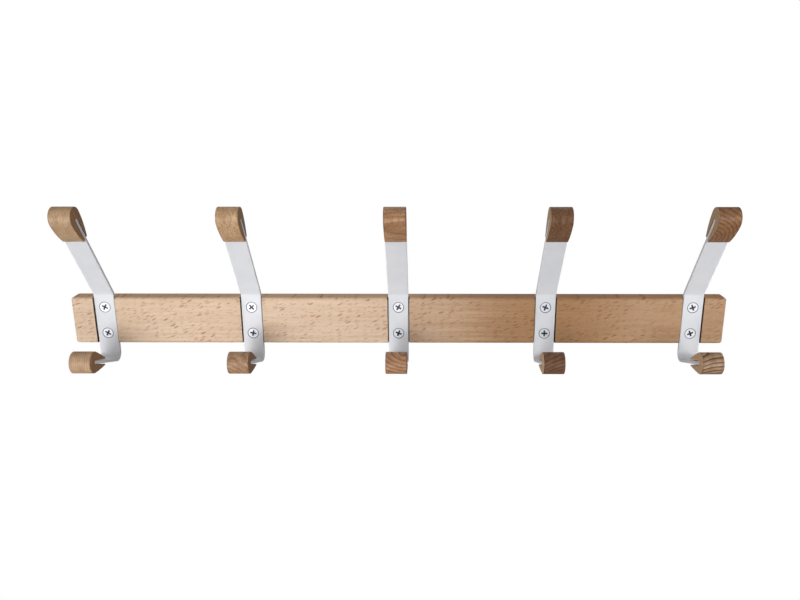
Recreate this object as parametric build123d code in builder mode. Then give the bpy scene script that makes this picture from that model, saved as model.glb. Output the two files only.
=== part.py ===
from build123d import *
import math
import os

# A wall hook rack: a wooden batten with five bent steel strap hooks screwed into grooves across
# its front. Each strap carries a wooden knob on its raised upper arm and one on its short lower
# arm. Two keyhole hanger plates let into the back hang the rack on two wall screws.
#
# Frame: X runs along the batten, the wall is the plane Y = 0 with the room on the -Y side, and
# Z is up. The origin is the centre of the batten's back face. All lengths are millimetres.

# Batten
BATTEN_LENGTH = 600.0
BATTEN_HEIGHT = 44.0
BATTEN_DEPTH = 15.0
FRONT_EDGE_RADIUS = 2.5
BACK_EDGE_RADIUS = 1.0

# Strap hooks
HOOK_COUNT = 5
HOOK_PITCH = 135.0
STRAP_WIDTH = 18.5
STRAP_THICKNESS = 3.0
STRAP_EDGE_RADIUS = 0.7
STRAP_RECESS = 1.4              # how far the strap's face lies below the batten's face
GROOVE_SIDE_GAP = 0.75

UPPER_ARM_TILT = 35.0           # from vertical, towards the room
UPPER_BEND_HEIGHT = 25.0        # height of the upper bend's corner on the strap's front face
UPPER_BEND_RADIUS = 4.0         # inside radius
UPPER_ARM_LENGTH = 95.5         # from that corner to the strap's upper end

LOWER_ARM_RISE = 18.0           # above horizontal, towards the room
LOWER_BEND_HEIGHT = -37.0       # height of the lower bend's corner on the strap's front face
LOWER_BEND_RADIUS = 5.0         # inside radius
LOWER_ARM_LENGTH = 55.6         # from that corner to the strap's lower end

# Knobs: a round nose that tapers back to two tips, one on each side of the strap
KNOB_WIDTH = STRAP_WIDTH
UPPER_KNOB_NOSE_RADIUS = 9.0
LOWER_KNOB_NOSE_RADIUS = 9.5
UPPER_KNOB_NOSE_SWEEP = 92.0    # angle from the knob's axis at which the nose becomes the flank
LOWER_KNOB_NOSE_SWEEP = 103.0
KNOB_TIP_HALF_HEIGHT = 3.5
KNOB_EDGE_RADIUS = 0.5
KNOB_SLOT_GAP = 0.8             # on each face of the strap, from the mouth inwards
KNOB_SEAT_GAP = 0.15            # the same where the strap's end is held
KNOB_SEAT_LENGTH = 3.0          # length of that tight part, at the slot's blind end
UPPER_KNOB_LENGTH = 34.0
UPPER_KNOB_SLOT_DEPTH = 23.5
LOWER_KNOB_LENGTH = 31.0
LOWER_KNOB_SLOT_DEPTH = 21.5

# Hook screws: 5 x 12 mm countersunk, cross recess
HOOK_SCREW_HEIGHTS = {"upper": 12.5, "lower": -12.5}
HOOK_SCREW_HEAD_RADIUS = 4.75
HOOK_SCREW_THREAD_RADIUS = 2.5
HOOK_SCREW_LENGTH = 12.0
HOOK_SCREW_RECESS_RADIUS = 3.0
SCREW_SINK = 0.12               # head top below the face around it
HEAD_BEVEL = 0.3                # bevel round the head's top
COUNTERSINK_GAP = 0.05          # between the head's cone and its seat
# How far each cross recess is turned, as the screws happened to stop when driven home
HOOK_SCREW_TURNS = {
    "upper": [27.0, 48.0, 30.0, 20.0, -20.0],
    "lower": [30.0, 12.0, 20.0, 0.0, -22.0],
}

# Keyhole hanger plates and their 3.5 x 10 mm screws
HANGER_SPACING = 400.0
PLATE_WIDTH = 46.0
PLATE_HEIGHT = 20.0
PLATE_THICKNESS = 2.0
PLATE_CORNER_RADIUS = 4.0
PLATE_POCKET_GAP = 0.25
KEYHOLE_ENTRY_RADIUS = 4.5
KEYHOLE_SLOT_RADIUS = 2.25
KEYHOLE_TRAVEL = 8.0            # from the entry hole's centre up to the seat's centre
HEAD_POCKET_RADIUS = 5.2        # room behind the plate for the wall screw's head
HEAD_POCKET_DEPTH = 4.5
HANGER_SCREW_OFFSET = 16.5
HANGER_SCREW_HEAD_RADIUS = 3.2
HANGER_SCREW_THREAD_RADIUS = 1.75
HANGER_SCREW_LENGTH = 10.0
HANGER_SCREW_RECESS_RADIUS = 1.8
HANGER_SCREW_TURNS = {"left": [15.0, 62.0], "right": [40.0, 5.0]}

# Screw form shared by both sizes
THREAD_PITCH = 1.6
CORE_TO_THREAD = 0.68           # core radius over thread radius
RECESS_WING = 0.52              # wing width over recess radius
PILOT_EXTRA_DEPTH = 0.4

# Derived
HOOK_XS = [(i - (HOOK_COUNT - 1) / 2) * HOOK_PITCH for i in range(HOOK_COUNT)]
GROOVE_DEPTH = STRAP_THICKNESS + STRAP_RECESS
GROOVE_FLOOR = BATTEN_DEPTH - GROOVE_DEPTH
GROOVE_WIDTH = STRAP_WIDTH + 2 * GROOVE_SIDE_GAP
STRAP_FACE = BATTEN_DEPTH - STRAP_RECESS
COUNTERSINK_EXTRA = SCREW_SINK + HEAD_BEVEL + COUNTERSINK_GAP
HANGER_XS = {"left": -HANGER_SPACING / 2, "right": HANGER_SPACING / 2}

os.makedirs("parts", exist_ok=True)


def save(builder, label):
    """Label one finished piece and write it to its own STEP file."""
    builder.part.label = label
    export_step(builder.part, f"parts/{label}.step")


def arm_direction(angle_from_level):
    """Unit (y, z) direction pointing into the room and up by the given angle."""
    angle = math.radians(angle_from_level)
    return (-math.cos(angle), math.sin(angle))


def quarter_turn(direction, sense):
    """The (y, z) direction square to another one, on the side that sense (1 or -1) picks."""
    return (sense * direction[1], -sense * direction[0])


def along(start, direction, distance):
    """The (y, z) point at a distance from a start point."""
    return (start[0] + direction[0] * distance, start[1] + direction[1] * distance)


UPPER_DIRECTION = arm_direction(90.0 - UPPER_ARM_TILT)
LOWER_DIRECTION = arm_direction(LOWER_ARM_RISE)
UPPER_CORNER = (-STRAP_FACE, UPPER_BEND_HEIGHT)
LOWER_CORNER = (-STRAP_FACE, LOWER_BEND_HEIGHT)
UPPER_END = along(UPPER_CORNER, UPPER_DIRECTION, UPPER_ARM_LENGTH)
LOWER_END = along(LOWER_CORNER, LOWER_DIRECTION, LOWER_ARM_LENGTH)


def make_strap(x):
    """One flat strap, bent at two places, with its two countersunk holes."""
    with BuildPart() as strap:
        with BuildSketch(Plane.YZ.offset(x - STRAP_WIDTH / 2)):
            with BuildLine():
                front = FilletPolyline(
                    UPPER_END,
                    UPPER_CORNER,
                    LOWER_CORNER,
                    LOWER_END,
                    radius=[UPPER_BEND_RADIUS, LOWER_BEND_RADIUS],
                )
                offset(front, amount=STRAP_THICKNESS, side=Side.LEFT)
            make_face()
        extrude(amount=STRAP_WIDTH)
        side_faces = strap.faces().filter_by(Plane.YZ)
        fillet(side_faces.edges(), STRAP_EDGE_RADIUS)
        for height in HOOK_SCREW_HEIGHTS.values():
            with Locations(Plane(origin=(x, -STRAP_FACE, height), z_dir=(0, -1, 0))):
                CounterSinkHole(
                    radius=HOOK_SCREW_THREAD_RADIUS + 0.2,
                    counter_sink_radius=HOOK_SCREW_HEAD_RADIUS + COUNTERSINK_EXTRA,
                    depth=2 * STRAP_THICKNESS,
                    counter_sink_angle=90,
                )
    return strap


def make_knob(x, strap_end, direction, strap_side, length, nose_radius, nose_sweep, slot_depth):
    """A knob on a strap's end. Its own frame runs from the slot's mouth to the nose."""
    strap_middle = along(strap_end, strap_side, STRAP_THICKNESS / 2)
    mouth = along(strap_middle, direction, -slot_depth)
    middle_plane = Plane(
        origin=(x, mouth[0], mouth[1]),
        x_dir=(0, direction[0], direction[1]),
        z_dir=(1, 0, 0),
    )
    nose_centre = (length - nose_radius, 0)
    seat_start = slot_depth - KNOB_SEAT_LENGTH
    with BuildPart() as knob:
        with BuildSketch(middle_plane):
            with BuildLine():
                nose = CenterArc(nose_centre, nose_radius, -nose_sweep, 2 * nose_sweep)
                upper_flank = TangentArc(nose @ 1, (0, KNOB_TIP_HALF_HEIGHT), tangent=nose % 1)
                lower_flank = TangentArc(
                    nose @ 0, (0, -KNOB_TIP_HALF_HEIGHT), tangent=-(nose % 0)
                )
                Line(upper_flank @ 1, lower_flank @ 1)
            make_face()
        extrude(amount=KNOB_WIDTH / 2, both=True)
        fillet(knob.faces().filter_by(Plane.YZ).edges(), KNOB_EDGE_RADIUS)
        with BuildSketch(middle_plane):
            with Locations((slot_depth / 2, 0)):
                Rectangle(slot_depth, STRAP_THICKNESS + 2 * KNOB_SEAT_GAP)
            with Locations((seat_start / 2, 0)):
                Rectangle(seat_start, STRAP_THICKNESS + 2 * KNOB_SLOT_GAP)
        extrude(amount=KNOB_WIDTH, both=True, mode=Mode.SUBTRACT)
    return knob


def make_screw(head_plane, head_radius, thread_radius, length, recess_radius):
    """A countersunk cross-recess screw. The plane lies on the head's top and faces outward."""
    core_radius = thread_radius * CORE_TO_THREAD
    head_height = head_radius - thread_radius
    neck = -head_height - HEAD_BEVEL
    tip_length = thread_radius * 1.4
    thread_count = int((length - head_height - tip_length) // THREAD_PITCH)
    thread_top = -(length - tip_length - thread_count * THREAD_PITCH)
    recess_depth = recess_radius * 0.85
    points = [
        (0, 0),
        (head_radius - HEAD_BEVEL, 0),
        (head_radius, -HEAD_BEVEL),
        (thread_radius, neck),
        (thread_radius, (thread_top + neck) / 2),
        (core_radius, thread_top),
    ]
    for turn in range(thread_count):
        crest = thread_top - (turn + 0.5) * THREAD_PITCH
        points.append((thread_radius, crest))
        points.append((core_radius, crest - THREAD_PITCH / 2))
    points.append((0, -length))
    axial_plane = Plane(
        origin=head_plane.origin, x_dir=head_plane.x_dir, z_dir=-head_plane.y_dir
    )
    with BuildPart() as recess:
        with BuildSketch(head_plane.offset(-recess_depth)):
            Rectangle(2 * recess_radius, RECESS_WING * recess_radius)
            Rectangle(RECESS_WING * recess_radius, 2 * recess_radius)
        extrude(amount=recess_depth + 1)
        with BuildSketch(axial_plane):
            with BuildLine():
                Polyline(
                    (0, 1),
                    (recess_radius, 1),
                    (recess_radius, -0.2),
                    (recess_radius * 0.35, -recess_depth),
                    (0, -recess_depth),
                    close=True,
                )
            make_face()
        revolve(axis=Axis(head_plane.origin, head_plane.z_dir), mode=Mode.INTERSECT)
    with BuildPart() as screw:
        with BuildSketch(axial_plane):
            with BuildLine():
                Polyline(*points, close=True)
            make_face()
        revolve(axis=Axis(head_plane.origin, head_plane.z_dir))
        add(recess.part, mode=Mode.SUBTRACT)
    return screw


def turned_plane(origin, outward, turn):
    """A plane facing outward whose X axis is turned away from the batten's length."""
    angle = math.radians(turn)
    return Plane(origin=origin, x_dir=(math.cos(angle), 0, -math.sin(angle)), z_dir=outward)


# Batten, with grooves across its front and pockets in its back
with BuildPart() as batten:
    with BuildSketch(Plane.XZ):
        Rectangle(BATTEN_LENGTH, BATTEN_HEIGHT)
    extrude(amount=BATTEN_DEPTH)
    back_edges = batten.faces().sort_by(Axis.Y)[-1].edges()
    fillet(batten.edges() - back_edges, FRONT_EDGE_RADIUS)
    fillet(batten.faces().sort_by(Axis.Y)[-1].edges(), BACK_EDGE_RADIUS)
    with BuildSketch(Plane.XZ.offset(GROOVE_FLOOR)):
        with GridLocations(HOOK_PITCH, 0, HOOK_COUNT, 1):
            Rectangle(GROOVE_WIDTH, 2 * BATTEN_HEIGHT)
    extrude(amount=BATTEN_DEPTH, mode=Mode.SUBTRACT)
    with BuildSketch(Plane.XZ.offset(GROOVE_FLOOR)):
        for hook_x in HOOK_XS:
            for screw_z in HOOK_SCREW_HEIGHTS.values():
                with Locations((hook_x, screw_z)):
                    Circle(HOOK_SCREW_THREAD_RADIUS)
    extrude(
        amount=-(HOOK_SCREW_LENGTH - STRAP_THICKNESS + PILOT_EXTRA_DEPTH), mode=Mode.SUBTRACT
    )
    with BuildSketch(Plane.XZ):
        with GridLocations(HANGER_SPACING, 0, 2, 1):
            RectangleRounded(
                PLATE_WIDTH + 2 * PLATE_POCKET_GAP,
                PLATE_HEIGHT + 2 * PLATE_POCKET_GAP,
                PLATE_CORNER_RADIUS + PLATE_POCKET_GAP,
            )
    extrude(amount=PLATE_THICKNESS, mode=Mode.SUBTRACT)
    with BuildSketch(Plane.XZ.offset(PLATE_THICKNESS)):
        with GridLocations(HANGER_SPACING, 0, 2, 1):
            SlotCenterToCenter(KEYHOLE_TRAVEL, 2 * HEAD_POCKET_RADIUS, rotation=90)
    extrude(amount=HEAD_POCKET_DEPTH, mode=Mode.SUBTRACT)
    with BuildSketch(Plane.XZ.offset(PLATE_THICKNESS)):
        with GridLocations(HANGER_SPACING, 0, 2, 1):
            with GridLocations(2 * HANGER_SCREW_OFFSET, 0, 2, 1):
                Circle(HANGER_SCREW_THREAD_RADIUS)
    extrude(
        amount=HANGER_SCREW_LENGTH - PLATE_THICKNESS + PILOT_EXTRA_DEPTH, mode=Mode.SUBTRACT
    )
save(batten, "batten")

# Hooks: a strap, two knobs and two screws each
for index, hook_x in enumerate(HOOK_XS):
    number = index + 1
    save(make_strap(hook_x), f"strap_hook_{number}")
    upper_knob = make_knob(
        hook_x,
        UPPER_END,
        UPPER_DIRECTION,
        quarter_turn(UPPER_DIRECTION, 1),
        UPPER_KNOB_LENGTH,
        UPPER_KNOB_NOSE_RADIUS,
        UPPER_KNOB_NOSE_SWEEP,
        UPPER_KNOB_SLOT_DEPTH,
    )
    save(upper_knob, f"upper_knob_{number}")
    lower_knob = make_knob(
        hook_x,
        LOWER_END,
        LOWER_DIRECTION,
        quarter_turn(LOWER_DIRECTION, -1),
        LOWER_KNOB_LENGTH,
        LOWER_KNOB_NOSE_RADIUS,
        LOWER_KNOB_NOSE_SWEEP,
        LOWER_KNOB_SLOT_DEPTH,
    )
    save(lower_knob, f"lower_knob_{number}")
    for place, screw_z in HOOK_SCREW_HEIGHTS.items():
        head_plane = turned_plane(
            (hook_x, -STRAP_FACE + SCREW_SINK, screw_z),
            (0, -1, 0),
            HOOK_SCREW_TURNS[place][index],
        )
        hook_screw = make_screw(
            head_plane,
            HOOK_SCREW_HEAD_RADIUS,
            HOOK_SCREW_THREAD_RADIUS,
            HOOK_SCREW_LENGTH,
            HOOK_SCREW_RECESS_RADIUS,
        )
        save(hook_screw, f"hook_screw_{number}_{place}")

# Hanger plates, flush with the batten's back, and their screws
for side, hanger_x in HANGER_XS.items():
    with BuildPart() as hanger_plate:
        with BuildSketch(Plane.XZ):
            with Locations((hanger_x, 0)):
                RectangleRounded(PLATE_WIDTH, PLATE_HEIGHT, PLATE_CORNER_RADIUS)
                SlotCenterToCenter(
                    KEYHOLE_TRAVEL, 2 * KEYHOLE_SLOT_RADIUS, rotation=90, mode=Mode.SUBTRACT
                )
            with Locations((hanger_x, -KEYHOLE_TRAVEL / 2)):
                Circle(KEYHOLE_ENTRY_RADIUS, mode=Mode.SUBTRACT)
        extrude(amount=PLATE_THICKNESS)
        for offset_x in (-HANGER_SCREW_OFFSET, HANGER_SCREW_OFFSET):
            with Locations(Plane(origin=(hanger_x + offset_x, 0, 0), z_dir=(0, 1, 0))):
                CounterSinkHole(
                    radius=HANGER_SCREW_THREAD_RADIUS + 0.15,
                    counter_sink_radius=HANGER_SCREW_HEAD_RADIUS + COUNTERSINK_EXTRA,
                    depth=2 * PLATE_THICKNESS,
                    counter_sink_angle=90,
                )
    save(hanger_plate, f"hanger_plate_{side}")
    for number, turn in enumerate(HANGER_SCREW_TURNS[side], start=1):
        offset_x = (-HANGER_SCREW_OFFSET, HANGER_SCREW_OFFSET)[number - 1]
        head_plane = turned_plane((hanger_x + offset_x, -SCREW_SINK, 0), (0, 1, 0), turn)
        hanger_screw = make_screw(
            head_plane,
            HANGER_SCREW_HEAD_RADIUS,
            HANGER_SCREW_THREAD_RADIUS,
            HANGER_SCREW_LENGTH,
            HANGER_SCREW_RECESS_RADIUS,
        )
        save(hanger_screw, f"hanger_screw_{side}_{number}")
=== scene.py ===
import math

import bpy
from mathutils import Euler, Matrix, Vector


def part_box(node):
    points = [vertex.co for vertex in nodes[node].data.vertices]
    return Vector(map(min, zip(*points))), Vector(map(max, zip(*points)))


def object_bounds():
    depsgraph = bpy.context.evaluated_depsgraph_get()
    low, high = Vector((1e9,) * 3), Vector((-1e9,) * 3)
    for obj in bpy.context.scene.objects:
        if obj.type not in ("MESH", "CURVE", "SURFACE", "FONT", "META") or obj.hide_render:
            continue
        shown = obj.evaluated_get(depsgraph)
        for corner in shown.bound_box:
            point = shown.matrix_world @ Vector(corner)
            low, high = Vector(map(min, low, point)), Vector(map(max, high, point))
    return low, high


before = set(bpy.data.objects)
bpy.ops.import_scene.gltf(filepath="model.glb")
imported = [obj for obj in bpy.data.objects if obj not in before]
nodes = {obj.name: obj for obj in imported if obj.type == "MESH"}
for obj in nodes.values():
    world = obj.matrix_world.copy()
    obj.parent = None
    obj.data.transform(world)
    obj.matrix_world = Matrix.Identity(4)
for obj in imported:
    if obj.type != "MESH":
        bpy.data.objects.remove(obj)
cad_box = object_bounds()

MM = 0.001
HOOKS = range(1, 6)


def centre_of(node):
    """Middle of a CAD node's box."""
    low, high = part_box(node)
    return (low + high) / 2


# ---------------------------------------------------------------------------------------------
# Camera: a little above the rack and just right of its middle, looking slightly down
# ---------------------------------------------------------------------------------------------
SENSOR_WIDTH = 36.0             # mm
LENS = 33.9255                  # mm
SIDE_SHIFT = -0.030375          # part of the picture's width
CAMERA_PLACE = Vector((0.0265, -0.6759, 0.2140))
CAMERA_PITCH = 0.2854           # radians below level
CAMERA_YAW = 0.0041             # radians, to the left


def add_camera():
    data = bpy.data.cameras.new("photo_camera")
    data.sensor_width = SENSOR_WIDTH
    data.lens = LENS
    data.shift_x = SIDE_SHIFT
    data.clip_start = 0.02
    data.clip_end = 50.0
    camera = bpy.data.objects.new("photo_camera", data)
    camera.rotation_euler = Euler((math.pi / 2 - CAMERA_PITCH, 0.0, CAMERA_YAW), "XYZ")
    camera.location = CAMERA_PLACE
    bpy.context.scene.collection.objects.link(camera)
    bpy.context.scene.camera = camera


# ---------------------------------------------------------------------------------------------
# Light and stage
# ---------------------------------------------------------------------------------------------
FILL_STRENGTH = 0.22
FLOOR_DROP = 0.45               # below the lowest point of the rack
FLOOR_SIZE = 12.0

# name, place, what it points at, width, height, spread in degrees, power in watts
SOFTBOXES = [
    ("left_softbox", (-0.80, -1.10, -0.06), (-0.25, 0.0, 0.03), 0.70, 0.70, 50.0, 0.62),
    ("front_softbox", (-0.10, -1.50, -0.60), (-0.05, 0.0, 0.03), 1.00, 1.00, 180.0, 3.2),
    ("right_softbox", (0.58, -0.60, 0.06), (0.39, 0.0, 0.02), 0.30, 0.40, 60.0, 0.36),
    ("top_softbox", (0.00, -0.30, 1.50), (0.00, 0.0, 0.03), 0.90, 0.90, 180.0, 2.0),
    ("left_side_softbox", (-1.60, -0.45, 0.00), (0.10, 0.0, 0.03), 0.80, 0.80, 180.0, 4.5),
    ("right_side_softbox", (1.60, -0.12, 0.10), (0.00, 0.0, 0.03), 0.60, 0.60, 180.0, 4.6),
    ("back_softbox", (0.00, 1.20, 1.25), (0.00, 0.0, 0.03), 1.20, 0.90, 180.0, 5.0),
]
# name, place, what it points at, cone angle in degrees, edge blend, lamp radius, power in watts
SPOTS = [
    ("plateau_spot", (-0.40, -1.45, -0.08), (-0.127, 0.0, 0.03), 22.0, 0.30, 0.30, 38.0),
]


def place_light(name, data, place, target):
    light = bpy.data.objects.new(name, data)
    light.location = place
    aim = Vector(target) - Vector(place)
    light.rotation_euler = aim.to_track_quat("-Z", "Y").to_euler()
    light.visible_camera = False
    bpy.context.scene.collection.objects.link(light)


def add_softbox(name, place, target, width, height, spread, power):
    data = bpy.data.lights.new(name, "AREA")
    data.shape = "RECTANGLE"
    data.size = width
    data.size_y = height
    data.spread = math.radians(spread)
    data.energy = power
    place_light(name, data, place, target)


def add_spot(name, place, target, cone, blend, radius, power):
    data = bpy.data.lights.new(name, "SPOT")
    data.spot_size = math.radians(cone)
    data.spot_blend = blend
    data.shadow_soft_size = radius
    data.energy = power
    place_light(name, data, place, target)


def add_world():
    """White behind the object, and a dim even fill for everything that light bounces from."""
    world = bpy.data.worlds.new("studio")
    bpy.context.scene.world = world
    world.use_nodes = True
    tree = world.node_tree
    tree.nodes.clear()
    output = tree.nodes.new("ShaderNodeOutputWorld")
    mix = tree.nodes.new("ShaderNodeMixShader")
    path = tree.nodes.new("ShaderNodeLightPath")
    fill = tree.nodes.new("ShaderNodeBackground")
    fill.inputs["Color"].default_value = (1.0, 1.0, 1.0, 1.0)
    fill.inputs["Strength"].default_value = FILL_STRENGTH
    backdrop = tree.nodes.new("ShaderNodeBackground")
    backdrop.inputs["Color"].default_value = (1.0, 1.0, 1.0, 1.0)
    backdrop.inputs["Strength"].default_value = 1.0
    tree.links.new(path.outputs["Is Camera Ray"], mix.inputs["Fac"])
    tree.links.new(fill.outputs["Background"], mix.inputs[1])
    tree.links.new(backdrop.outputs["Background"], mix.inputs[2])
    tree.links.new(mix.outputs["Shader"], output.inputs["Surface"])


def add_floor():
    """A pale floor well below the rack, bright enough to meet the backdrop without a line."""
    lowest = cad_box[0][2]
    half = FLOOR_SIZE / 2
    corners = [(-half, -half), (half, -half), (half, half), (-half, half)]
    mesh = bpy.data.meshes.new("floor")
    height = lowest - FLOOR_DROP
    mesh.from_pydata([(x, y, height) for x, y in corners], [], [(0, 1, 2, 3)])
    floor = bpy.data.objects.new("floor", mesh)
    floor.visible_diffuse = False
    floor.visible_glossy = False
    floor.visible_shadow = False
    bpy.context.scene.collection.objects.link(floor)
    material = bpy.data.materials.new("pale_floor")
    material.use_nodes = True
    tree = material.node_tree
    tree.nodes.clear()
    output = tree.nodes.new("ShaderNodeOutputMaterial")
    glow = tree.nodes.new("ShaderNodeEmission")
    glow.inputs["Color"].default_value = (1.0, 1.0, 1.0, 1.0)
    glow.inputs["Strength"].default_value = 1.0
    tree.links.new(glow.outputs["Emission"], output.inputs["Surface"])
    mesh.materials.append(material)


# ---------------------------------------------------------------------------------------------
# Material building
# ---------------------------------------------------------------------------------------------
class Graph:
    """One material's node tree, with short calls for the nodes used here."""

    def __init__(self, name):
        self.material = bpy.data.materials.new(name)
        self.material.use_nodes = True
        self.tree = self.material.node_tree
        self.tree.nodes.clear()
        self.output = self.add("ShaderNodeOutputMaterial")
        self.shader = self.add("ShaderNodeBsdfPrincipled")
        self.link(self.shader.outputs["BSDF"], self.output.inputs["Surface"])

    def add(self, kind, **settings):
        node = self.tree.nodes.new(kind)
        for key, value in settings.items():
            setattr(node, key, value)
        return node

    def link(self, source, target):
        self.tree.links.new(source, target)

    def feed(self, socket, value):
        """Connects a socket, or sets its value when given a plain number, colour or vector."""
        if isinstance(value, bpy.types.NodeSocket):
            self.link(value, socket)
        else:
            socket.default_value = value

    def place(self):
        """Position on the object in millimetres."""
        source = self.add("ShaderNodeTexCoord")
        return self.vector("SCALE", source.outputs["Object"], scale=1.0 / MM)

    def vector(self, operation, first, second=None, scale=None):
        node = self.add("ShaderNodeVectorMath", operation=operation)
        self.feed(node.inputs[0], first)
        if second is not None:
            self.feed(node.inputs[1], second)
        if scale is not None:
            self.feed(node.inputs["Scale"], scale)
        name = "Value" if operation in ("LENGTH", "DOT_PRODUCT", "DISTANCE") else "Vector"
        return node.outputs[name]

    def math(self, operation, first, second=None, clamp=False):
        node = self.add("ShaderNodeMath", operation=operation, use_clamp=clamp)
        self.feed(node.inputs[0], first)
        if second is not None:
            self.feed(node.inputs[1], second)
        return node.outputs[0]

    def stretch(self, vector, lengths):
        """Divides each coordinate by a length in millimetres."""
        return self.vector("DIVIDE", vector, lengths)

    def noise(self, vector, detail=2.0, roughness=0.5, scale=1.0):
        node = self.add("ShaderNodeTexNoise")
        self.feed(node.inputs["Vector"], vector)
        node.inputs["Scale"].default_value = scale
        node.inputs["Detail"].default_value = detail
        node.inputs["Roughness"].default_value = roughness
        return node.outputs["Fac"]

    def cells(self, vector):
        node = self.add("ShaderNodeTexVoronoi")
        self.feed(node.inputs["Vector"], vector)
        node.inputs["Scale"].default_value = 1.0
        return node.outputs["Distance"], node.outputs["Color"]

    def smooth(self, value, low, high, to_low=0.0, to_high=1.0):
        """Smooth step from low to high."""
        node = self.add("ShaderNodeMapRange", interpolation_type="SMOOTHSTEP")
        self.feed(node.inputs["Value"], value)
        node.inputs["From Min"].default_value = low
        node.inputs["From Max"].default_value = high
        node.inputs["To Min"].default_value = to_low
        node.inputs["To Max"].default_value = to_high
        return node.outputs["Result"]

    def blend(self, amount, first, second, mode="MIX"):
        node = self.add("ShaderNodeMix", data_type="RGBA", blend_type=mode)
        self.feed(node.inputs["Factor"], amount)
        self.feed(node.inputs["A"], first)
        self.feed(node.inputs["B"], second)
        return node.outputs["Result"]

    def split(self, vector):
        node = self.add("ShaderNodeSeparateXYZ")
        self.feed(node.inputs[0], vector)
        return node.outputs["X"], node.outputs["Y"], node.outputs["Z"]

    def bump(self, height, depth_mm, strength=1.0, below=None):
        node = self.add("ShaderNodeBump")
        self.feed(node.inputs["Height"], height)
        node.inputs["Distance"].default_value = depth_mm * MM
        node.inputs["Strength"].default_value = strength
        if below is not None:
            self.link(below, node.inputs["Normal"])
        return node.outputs["Normal"]


def rgb(red, green, blue):
    """Linear colour from 0-255 display values."""
    def linear(channel):
        c = channel / 255.0
        return c / 12.92 if c <= 0.04045 else ((c + 0.055) / 1.055) ** 2.4
    return (linear(red), linear(green), linear(blue), 1.0)


def wood_frame(g, place, fibre_axis):
    """Position as (along the fibres, across, across), for a fibre direction in the part's frame."""
    axis = Vector(fibre_axis).normalized()
    side = axis.cross(Vector((0.0, 1.0, 0.0)))
    if side.length < 0.2:
        side = axis.cross(Vector((0.0, 0.0, 1.0)))
    side.normalize()
    third = axis.cross(side)
    combine = g.add("ShaderNodeCombineXYZ")
    for socket, direction in zip(("X", "Y", "Z"), (axis, side, third)):
        g.link(g.vector("DOT_PRODUCT", place, direction), combine.inputs[socket])
    return combine.outputs["Vector"]


def growth_rings(g, wood, pith, spacing, waviness):
    """0 in the pale early wood, rising to 1 in the dark line that ends each year's growth."""
    wander = g.noise(g.stretch(wood, (55.0, 11.0, 11.0)), detail=2.0)
    tremble = g.noise(g.stretch(wood, (10.0, 2.6, 2.6)), detail=3.0)
    rate = g.noise(g.stretch(wood, (80.0, 20.0, 20.0)), detail=1.0)
    flat = g.vector("MULTIPLY", wood, (0.0, 1.0, 1.0))
    radius = g.vector("DISTANCE", flat, (0.0, pith[0], pith[1]))
    radius = g.math("ADD", radius, g.math("MULTIPLY", wander, spacing * 1.8 * waviness))
    radius = g.math("ADD", radius, g.math("MULTIPLY", tremble, spacing * 0.45 * waviness))
    radius = g.math("ADD", radius, g.math("MULTIPLY", rate, spacing * 1.5 * waviness))
    phase = g.math("FRACT", g.math("DIVIDE", radius, spacing))
    rise = g.math("POWER", phase, 2.2)
    return g.math("MULTIPLY", rise, g.smooth(phase, 0.86, 1.0, 1.0, 0.0))


def ray_flecks(g, face, cell, tilt, share, reach, seed):
    """Short tilted spindles where the wood's rays come out on the (X, Z) face."""
    x, y, z = g.split(face)
    bend = g.math("MULTIPLY", g.noise(g.stretch(face, (26.0, 26.0, 9.0)), detail=2.0), 5.0)
    slope = math.tan(math.radians(tilt))
    lifted = g.math("SUBTRACT", g.math("ADD", z, bend), g.math("MULTIPLY", x, slope))
    flat = g.add("ShaderNodeCombineXYZ")
    g.link(g.math("ADD", g.math("DIVIDE", x, cell[0]), seed), flat.inputs["X"])
    g.link(g.math("DIVIDE", lifted, cell[1]), flat.inputs["Y"])
    voronoi = g.add("ShaderNodeTexVoronoi", voronoi_dimensions="2D")
    g.link(flat.outputs["Vector"], voronoi.inputs["Vector"])
    voronoi.inputs["Scale"].default_value = 1.0
    voronoi.inputs["Randomness"].default_value = 0.9
    chance, size, tone = g.split(voronoi.outputs["Color"])
    ragged = g.noise(g.stretch(face, (1.4, 8.0, 0.5)), detail=2.0)
    limit = g.math("ADD", g.math("MULTIPLY", size, reach * 0.6), reach * 0.75)
    limit = g.math("SUBTRACT", limit, g.math("MULTIPLY", ragged, reach * 0.7))
    inside = g.smooth(g.math("SUBTRACT", limit, voronoi.outputs["Distance"]), -0.05, 0.09)
    present = g.smooth(chance, 1.0 - share - 0.04, 1.0 - share + 0.04)
    strength = g.math("ADD", g.math("MULTIPLY", tone, 0.65), 0.35)
    return g.math("MULTIPLY", g.math("MULTIPLY", inside, present), strength)


def wood_surface(g, colour, fibre, pore, figure):
    """Shared oiled finish: roughness and relief that follow the fibres, pores and figure."""
    g.feed(g.shader.inputs["Base Color"], colour)
    rough = g.smooth(fibre, 0.2, 0.8, 0.44, 0.56)
    rough = g.math("ADD", rough, g.math("MULTIPLY", pore, 0.10))
    rough = g.math("SUBTRACT", rough, g.math("MULTIPLY", figure, 0.05))
    g.feed(g.shader.inputs["Roughness"], rough)
    g.shader.inputs["Specular IOR Level"].default_value = 0.35
    g.shader.inputs["Coat Weight"].default_value = 0.08
    g.shader.inputs["Coat Roughness"].default_value = 0.35
    relief = g.math("SUBTRACT", g.math("MULTIPLY", fibre, 0.6), g.math("MULTIPLY", pore, 0.5))
    relief = g.math("SUBTRACT", relief, g.math("MULTIPLY", figure, 0.4))
    g.feed(g.shader.inputs["Normal"], g.bump(relief, 0.05, 0.7))


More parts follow.
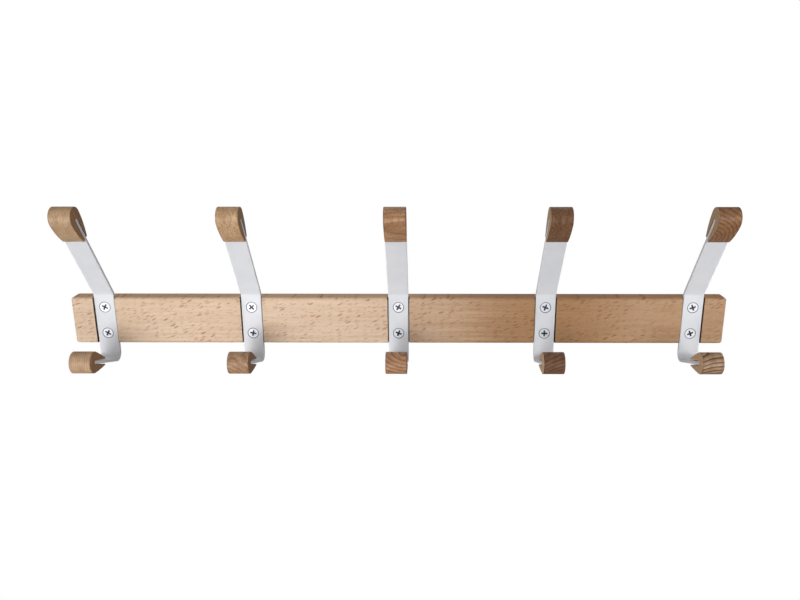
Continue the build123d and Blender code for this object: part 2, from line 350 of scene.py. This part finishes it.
def wood_fibres(g, wood):
    """Fine fibre streaks and pores, both drawn out along the fibres."""
    fibre = g.noise(g.stretch(wood, (16.0, 0.55, 0.55)), detail=4.0, roughness=0.6)
    pore_distance, _ = g.cells(g.stretch(wood, (2.4, 0.26, 0.26)))
    return fibre, g.smooth(pore_distance, 0.12, 0.36, 1.0, 0.0)


# Where the pieces lie, in millimetres, for the parts of a material that follow the shape
HOOK_PITCH = 135.0
SCREW_HEIGHT = 12.5             # above and below the batten's middle
STRAP_FACE = -13.6
GROOVE_FLOOR = -10.6
GROOVE_HALF_WIDTH = 10.0
KNOB_HALF_WIDTH = 9.25
HOOK_SCREW_HEAD = 4.75          # radius
HANGER_SCREW_HEAD = 3.2         # radius
WHITE = (1.0, 1.0, 1.0, 1.0)


def from_nearest_hook(g, x):
    """Signed distance along X from the middle of the nearest strap."""
    turn = g.math("ROUND", g.math("DIVIDE", x, HOOK_PITCH))
    return g.math("SUBTRACT", x, g.math("MULTIPLY", turn, HOOK_PITCH))


BATTEN_PALE = rgb(230, 204, 177)
BATTEN_LINE = rgb(203, 164, 128)
BATTEN_FLECK = rgb(172, 106, 68)
BATTEN_HEART_AND_SHADE = (0.58, 0.428, 0.276, 1.0)     # tint of the browner half of the board, partly heartwood and partly painted shade
# painted shade inside the strap grooves; also mixed into the knobs' pore colour
GROOVE_SHADE_AND_PORE_TINT = (0.10, 0.075, 0.06, 1.0)
END_TINT = (0.55, 0.45, 0.38, 1.0)           # end grain
EDGE_TINT = (1.0, 0.88, 0.74, 1.0)           # long top and bottom faces
COAT_COLOURS = (rgb(231, 233, 238), rgb(237, 238, 242))
COAT_NIB = rgb(196, 196, 200)
COAT_HOLLOW = rgb(205, 206, 210)
SEAT_SHADOW = rgb(92, 98, 116)               # countersunk seat that shows round a screw head
# painted shade on screw-head bevels and deep in their cross recesses
BEVEL_SHADE = rgb(110, 118, 138)
RECESS_SHADE = rgb(62, 72, 96)


def batten_material():
    """Steamed beech: fibres along X, tilted ray flecks, and a browner right half that is partly
    heartwood and partly painted shade.
    """
    g = Graph("batten_beech")
    here = g.place()
    x, y, z = g.split(here)
    wood = g.vector("ADD", here, (13.0, 40.0, 7.0))
    fibre, pore = wood_fibres(g, wood)
    ring = growth_rings(g, here, (74.0, 30.0), 2.6, 1.3)
    streak = g.noise(g.stretch(wood, (70.0, 2.0, 2.0)), detail=3.0, roughness=0.6)
    cloud = g.noise(g.stretch(wood, (50.0, 16.0, 12.0)), detail=2.0)
    bold = ray_flecks(g, here, (8.5, 2.5), 19.0, 0.68, 0.33, 3.0)
    small = ray_flecks(g, here, (6.0, 1.7), 14.0, 0.50, 0.30, 31.0)
    flecks = g.math("MAXIMUM", bold, g.math("MULTIPLY", small, 0.60))
    patchy = g.noise(g.stretch(wood, (60.0, 20.0, 18.0)), detail=2.0)
    flecks = g.math("MULTIPLY", flecks, g.smooth(patchy, 0.32, 0.56, 0.40, 1.0))

    colour = g.blend(g.math("MULTIPLY", ring, 0.34), BATTEN_PALE, BATTEN_LINE)
    colour = g.blend(g.smooth(streak, 0.40, 0.72, 0.0, 0.35), colour, BATTEN_LINE)
    colour = g.blend(g.smooth(cloud, 0.35, 0.70, 0.0, 0.22), colour, BATTEN_LINE)
    colour = g.blend(g.smooth(fibre, 0.38, 0.72, 0.0, 0.24), colour, BATTEN_LINE)
    colour = g.blend(g.math("MULTIPLY", pore, 0.14), colour, BATTEN_FLECK)
    colour = g.blend(g.math("MULTIPLY", flecks, 0.80), colour, BATTEN_FLECK)

    # Browner right half: partly heartwood, partly painted shade
    sweep = g.math("ADD", x, g.math("MULTIPLY", g.math("SUBTRACT", streak, 0.5), 40.0))
    behind = g.smooth(y, -13.0, -6.0)
    front_step = g.math("MULTIPLY", g.smooth(x, -6.0, 6.0, 0.0, 0.38),
                        g.math("SUBTRACT", 1.0, behind))
    back_ramp = g.math("MULTIPLY", g.smooth(sweep, -110.0, 90.0, 0.0, 0.38), behind)
    step = g.math("ADD", front_step, back_ramp)
    heart_and_shade = g.math("ADD", step, g.smooth(sweep, 12.0, 90.0, 0.0, 0.42))
    # Painted shade: darkest round x = 140 mm, by the fourth hook
    from_darkest_shade = g.math("ABSOLUTE", g.math("SUBTRACT", sweep, 140.0))
    heart_and_shade = g.math("ADD", heart_and_shade, g.smooth(from_darkest_shade, 25.0, 85.0, 0.2, 0.0))
    colour = g.blend(1.0, colour, g.blend(heart_and_shade, WHITE, BATTEN_HEART_AND_SHADE), "MULTIPLY")

    # Painted shade: the wood inside each strap's groove is darkened
    from_hook = g.math("ABSOLUTE", from_nearest_hook(g, x))
    above_floor = g.smooth(y, GROOVE_FLOOR + 0.1, GROOVE_FLOOR + 0.3, 1.0, 0.0)
    depth = g.math("MULTIPLY", g.smooth(y, -14.9, -14.7), above_floor)
    near = g.smooth(from_hook, GROOVE_HALF_WIDTH + 0.15, GROOVE_HALF_WIDTH + 0.45, 1.0, 0.0)
    groove_shade = g.math("MULTIPLY", near, depth)
    end = g.smooth(g.math("ABSOLUTE", x), 298.2, 299.8)
    colour = g.blend(g.math("MULTIPLY", end, 0.55), colour,
                     g.blend(1.0, colour, END_TINT, "MULTIPLY"))
    edge = g.smooth(g.math("ABSOLUTE", z), 21.2, 21.9)
    colour = g.blend(edge, colour, g.blend(1.0, colour, EDGE_TINT, "MULTIPLY"))
    colour = g.blend(groove_shade, colour, g.blend(1.0, colour, GROOVE_SHADE_AND_PORE_TINT, "MULTIPLY"))
    wood_surface(g, colour, fibre, pore, flecks)
    return g.material


def knob_material(node, pale, line, side_tone_and_light, fibre_axis, pith, spacing, strength, waviness,
                  mottle):
    """Oiled beech knob with its own growth rings and end grain on both sides, in a side colour that
    is partly painted light: pale where a side faces the lamps, dark where it is in shade.

    pith is where the centre of the growth rings passes, in millimetres from the knob's middle.
    """
    g = Graph(f"{node}_beech")
    here = g.vector("SUBTRACT", g.place(), centre_of(node) / MM)
    x, y, z = g.split(here)
    wood = wood_frame(g, g.vector("SUBTRACT", here, Vector(pith)), fibre_axis)
    fibre, pore = wood_fibres(g, wood)
    ring = growth_rings(g, wood, (0.0, 0.0), spacing, waviness)
    cloud = g.noise(g.stretch(wood, (14.0, 5.0, 5.0)), detail=3.0)
    spots = g.noise(g.stretch(here, (1.5, 1.5, 3.4)), detail=2.0)
    colour = g.blend(g.math("MULTIPLY", ring, strength, clamp=True), pale, line)
    colour = g.blend(g.smooth(cloud, 0.35, 0.70, 0.0, 0.35), colour, line)
    colour = g.blend(g.smooth(fibre, 0.38, 0.72, 0.0, 0.30), colour, line)
    colour = g.blend(g.smooth(spots, 0.42, 0.66, 0.0, mottle), colour, line)
    colour = g.blend(g.math("MULTIPLY", pore, 0.25), colour, g.blend(0.5, line, GROOVE_SHADE_AND_PORE_TINT))
    from_middle = g.math("ABSOLUTE", x)
    side = g.smooth(from_middle, KNOB_HALF_WIDTH - 0.55, KNOB_HALF_WIDTH - 0.05)
    grain = g.blend(g.math("MULTIPLY", ring, 0.7), WHITE, (0.52, 0.42, 0.34, 1.0))
    grain = g.blend(g.smooth(fibre, 0.35, 0.70, 0.0, 0.35), grain, (0.60, 0.51, 0.43, 1.0))
    grain = g.blend(g.smooth(spots, 0.40, 0.66, 0.0, 0.45), grain, (0.58, 0.48, 0.40, 1.0))
    # Side faces: end grain, in a colour that is partly painted light (pale on lit sides, dark on
    # shaded sides)
    colour = g.blend(side, colour, g.blend(1.0, side_tone_and_light, grain, "MULTIPLY"))
    rim_start = g.smooth(from_middle, KNOB_HALF_WIDTH - 1.05, KNOB_HALF_WIDTH - 0.35)
    rim_end = g.smooth(from_middle, KNOB_HALF_WIDTH - 0.25, KNOB_HALF_WIDTH - 0.05, 1.0, 0.0)
    rim = g.math("MULTIPLY", rim_start, rim_end)
    colour = g.blend(g.math("MULTIPLY", rim, 0.45), colour, line)
    wood_surface(g, colour, fibre, pore, ring)
    return g.material


def powder_coat(name):
    """White powder coat on steel: fine orange peel, faint mottling and a few dust nibs."""
    g = Graph(name)
    here = g.place()
    x, y, z = g.split(here)
    peel = g.noise(g.stretch(here, (0.55, 0.55, 0.55)), detail=2.0, roughness=0.5)
    broad = g.noise(g.stretch(here, (2.4, 2.4, 2.4)), detail=2.0)
    mottle = g.noise(g.stretch(here, (16.0, 16.0, 16.0)), detail=3.0)
    nib_distance, nib_colour = g.cells(g.stretch(here, (2.6, 2.6, 2.6)))
    nib_chance = g.split(nib_colour)[0]
    nib = g.math("MULTIPLY", g.smooth(nib_distance, 0.03, 0.10, 1.0, 0.0),
                 g.smooth(nib_chance, 0.86, 0.90))
    colour = g.blend(g.smooth(mottle, 0.3, 0.7), *COAT_COLOURS)
    colour = g.blend(g.math("MULTIPLY", nib, 0.35), colour, COAT_NIB)
    colour = g.blend(g.smooth(peel, 0.3, 0.7, 0.0, 0.08), colour, COAT_HOLLOW)

    across = from_nearest_hook(g, x)
    up = g.math("SUBTRACT", g.math("ABSOLUTE", z), SCREW_HEIGHT)
    square = g.math("ADD", g.math("MULTIPLY", across, across), g.math("MULTIPLY", up, up))
    from_screw = g.math("SQRT", square)
    ring = g.smooth(from_screw, HOOK_SCREW_HEAD + 0.45, HOOK_SCREW_HEAD + 0.57, 1.0, 0.0)
    seat = g.math("MULTIPLY", ring, g.smooth(y, STRAP_FACE + 0.02, STRAP_FACE + 0.10))
    colour = g.blend(g.math("MULTIPLY", seat, 0.9), colour, SEAT_SHADOW)
    g.feed(g.shader.inputs["Base Color"], colour)
    g.feed(g.shader.inputs["Roughness"], g.smooth(broad, 0.3, 0.7, 0.40, 0.50))
    g.shader.inputs["Specular IOR Level"].default_value = 0.5
    relief = g.math("ADD", g.math("MULTIPLY", peel, 0.6), g.math("MULTIPLY", broad, 0.8))
    relief = g.math("ADD", relief, g.math("MULTIPLY", nib, 0.5))
    g.feed(g.shader.inputs["Normal"], g.bump(relief, 0.025, 0.6))
    return g.material


def zinc(name, pale, dull, metallic, head=None):
    """Zinc plate. head = (centre, face y, outward sign, radius) adds the look of a screw head:
    turned rings, painted shade on its bevel and painted shade deep in the recess."""
    g = Graph(name)
    here = g.place()
    spangle = g.noise(g.stretch(here, (1.1, 1.1, 1.1)), detail=4.0, roughness=0.6)
    haze = g.noise(g.stretch(here, (4.0, 4.0, 4.0)), detail=2.0)
    scratch = g.noise(g.stretch(here, (3.0, 0.10, 0.14)), detail=3.0, roughness=0.7)
    colour = g.blend(g.smooth(spangle, 0.3, 0.75), pale, dull)
    relief = g.math("ADD", g.math("MULTIPLY", scratch, 0.5), g.math("MULTIPLY", spangle, 0.4))
    if head is not None:
        centre, face, outward, head_radius = head
        x, y, z = g.split(here)
        depth = g.math("MULTIPLY", g.math("SUBTRACT", face / MM, y), outward)
        flat = g.vector("MULTIPLY", g.vector("SUBTRACT", here, centre / MM), (1.0, 0.0, 1.0))
        radius = g.vector("LENGTH", flat)
        # Painted shade on the head's rounded edge
        bevel_shade = g.smooth(radius, head_radius - 0.34, head_radius - 0.20)
        colour = g.blend(g.math("MULTIPLY", bevel_shade, 0.85), colour, BEVEL_SHADE)
        # Painted shade deep in the cross recess
        recess_shade = g.smooth(depth, 0.04, 0.45)
        inner = g.smooth(radius, head_radius - 1.2, head_radius - 0.9, 1.0, 0.0)
        colour = g.blend(g.math("MULTIPLY", recess_shade, inner), colour, RECESS_SHADE)
        ring_place = g.add("ShaderNodeCombineXYZ")
        g.link(g.math("MULTIPLY", radius, 9.0), ring_place.inputs["X"])
        rings = g.noise(ring_place.outputs["Vector"], detail=1.0)
        relief = g.math("ADD", relief, g.math("MULTIPLY", rings, 0.5))
    g.feed(g.shader.inputs["Base Color"], colour)
    g.shader.inputs["Metallic"].default_value = metallic
    g.feed(g.shader.inputs["Roughness"], g.smooth(haze, 0.3, 0.7, 0.38, 0.50))
    g.feed(g.shader.inputs["Normal"], g.bump(relief, 0.015, 0.4))
    return g.material


# ---------------------------------------------------------------------------------------------
# Dressing the CAD nodes
# ---------------------------------------------------------------------------------------------
def dress(node, material):
    mesh = nodes[node].data
    mesh.materials.clear()
    mesh.materials.append(material)


# node: pale colour, line colour, side face colour, fibre direction, pith, ring spacing, ring
# strength, ring waviness, mottling
# Front colours are partly painted shade, darkest on the fourth hook's knobs; side colours are
# partly painted light, pale on the lit left sides of the fourth and fifth hooks' knobs and dark on
# the shaded right sides of the first and second.
KNOBS = {
    "upper_knob_1": (rgb(210, 177, 142), rgb(154, 113, 77), rgb(173, 133, 93),
                     (0, -0.5, 0.8), (90, 20, 10), 2.4, 0.25, 0.8, 0.35),
    "lower_knob_1": (rgb(216, 182, 146), rgb(146, 104, 74), rgb(178, 134, 93),
                     (0, 0.3, 1.0), (60, 0, 4), 1.9, 0.65, 0.4, 0.1),
    "upper_knob_2": (rgb(218, 186, 146), rgb(160, 110, 68), rgb(166, 130, 92),
                     (0, -0.5, 0.8), (30, 4, 30), 3.0, 0.35, 0.8, 0.55),
    "lower_knob_2": (rgb(204, 166, 129), rgb(122, 78, 50), rgb(154, 115, 82),
                     (0.2, 1, 0.1), (-12, 0, -16), 4.2, 0.9, 0.9, 0.35),
    "upper_knob_3": (rgb(212, 164, 120), rgb(116, 72, 42), rgb(178, 134, 100),
                     (1, 0, 0.12), (0, -66, -46), 3.6, 0.65, 0.35, 0.35),
    "lower_knob_3": (rgb(215, 165, 122), rgb(106, 62, 38), rgb(178, 134, 100),
                     (0, 1, 0), (12, 0, 36), 3.4, 1.0, 0.45, 0.1),
    "upper_knob_4": (rgb(146, 106, 73), rgb(92, 58, 36), rgb(208, 176, 142),
                     (0, -0.5, 0.8), (50, 10, 16), 3.0, 0.3, 0.8, 0.7),
    "lower_knob_4": (rgb(146, 104, 73), rgb(76, 46, 29), rgb(228, 196, 160),
                     (0.1, 1, 0), (26, 0, -70), 3.0, 1.1, 0.35, 0.1),
    "upper_knob_5": (rgb(176, 128, 88), rgb(92, 56, 34), rgb(206, 170, 132),
                     (0.1, 1, 0.1), (-17, 0, -14), 3.3, 1.0, 0.6, 0.25),
    "lower_knob_5": (rgb(204, 168, 131), rgb(82, 48, 30), rgb(228, 192, 152),
                     (0, 1, 0), (16, 0, -72), 3.3, 1.4, 0.25, 0.1),
}


# zinc plate: pale colour, dull colour, metallic
HOOK_SCREW_ZINC = (rgb(244, 245, 249), rgb(232, 234, 240), 0.30)
PLATE_ZINC = (rgb(205, 207, 212), rgb(176, 180, 188), 0.85)
HANGER_SCREW_ZINC = (rgb(222, 223, 228), rgb(196, 199, 206), 0.80)


def dress_everything():
    dress("batten", batten_material())
    coat = powder_coat("white_powder_coat")
    for number in HOOKS:
        dress(f"strap_hook_{number}", coat)
    for node, settings in KNOBS.items():
        dress(node, knob_material(node, *settings))
    for number in HOOKS:
        for level in ("upper", "lower"):
            node = f"hook_screw_{number}_{level}"
            head = (centre_of(node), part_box(node)[0].y, -1.0, HOOK_SCREW_HEAD)
            dress(node, zinc(f"{node}_zinc", *HOOK_SCREW_ZINC, head))
    for side in ("left", "right"):
        plate = f"hanger_plate_{side}"
        dress(plate, zinc(f"{plate}_zinc", *PLATE_ZINC))
        for number in (1, 2):
            node = f"hanger_screw_{side}_{number}"
            head = (centre_of(node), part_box(node)[1].y, 1.0, HANGER_SCREW_HEAD)
            dress(node, zinc(f"{node}_zinc", *HANGER_SCREW_ZINC, head))


add_camera()
add_world()
add_floor()
for softbox in SOFTBOXES:
    add_softbox(*softbox)
for spot in SPOTS:
    add_spot(*spot)
dress_everything()
bpy.context.scene.view_settings.view_transform = "Standard"
